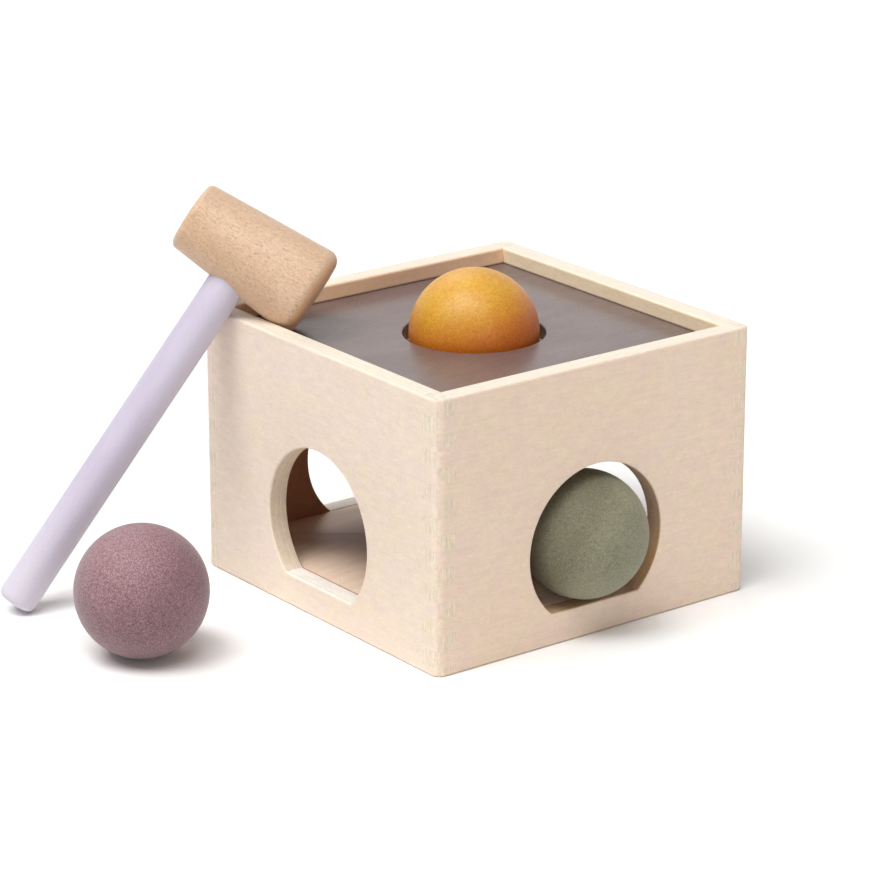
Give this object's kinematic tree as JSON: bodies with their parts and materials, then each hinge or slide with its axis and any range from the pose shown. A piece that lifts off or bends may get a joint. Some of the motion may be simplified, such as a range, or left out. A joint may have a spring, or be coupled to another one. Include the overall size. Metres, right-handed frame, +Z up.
{
  "type": "ball pounding toy",
  "caption": "Square finger-jointed wooden box with a sunken lid that holds a ball over a low ramp, an arched opening in each side, loose balls and a tapered mallet.",
  "frame": {"origin": "middle of the box's footprint, on the table", "axes": "+Z up, -Y towards the front opening with the ball in it, -X towards the side that the mallet leans on"},
  "size_m": [0.245, 0.1737, 0.1543],
  "materials": {
    "birch_plywood": "satin",
    "charcoal_stain": "satin",
    "natural_rubber": "matte",
    "plain_board": "matte",
    "screw_steel": "satin",
    "ramp_wood": "satin",
    "mustard_stain": "satin",
    "sage_stain": "matte",
    "plum_stain": "matte",
    "beech": "satin",
    "lilac_paint": "matte"
  },
  "bodies": {
    "box": {"front_wall": "birch_plywood", "right_wall": "birch_plywood", "back_wall": "birch_plywood", "left_wall": "birch_plywood", "top_plate": "charcoal_stain", "grip_ring": "natural_rubber", "ring_holder": "plain_board", "holder_screws": "screw_steel", "bottom_panel": "plain_board", "ball_ramp": "ramp_wood"},
    "yellow_ball": {"yellow_ball": "mustard_stain"},
    "green_ball": {"green_ball": "sage_stain"},
    "plum_ball": {"plum_ball": "plum_stain"},
    "mallet": {"hammer_head": "beech", "hammer_handle": "lilac_paint"}
  },
  "joints": [
    {"name": "yellow_ball_drop", "type": "slide", "parent": "box", "child": "yellow_ball", "axis": [0, 0, -1], "range_m": [-0.03, 0.0548], "deforming": ["grip_ring"]},
    {"name": "green_ball_roll", "type": "slide", "parent": "box", "child": "green_ball", "axis": [0, -1, 0], "range_m": [0, 0.06]},
    {"name": "plum_ball_roll", "type": "slide", "parent": "box", "child": "plum_ball", "axis": [1, 0, 0], "range_m": [-0.05, 0.046]},
    {"name": "mallet_lift", "type": "slide", "parent": "box", "child": "mallet", "axis": [0, 0, 1], "range_m": [0, 0.1]}
  ]
}
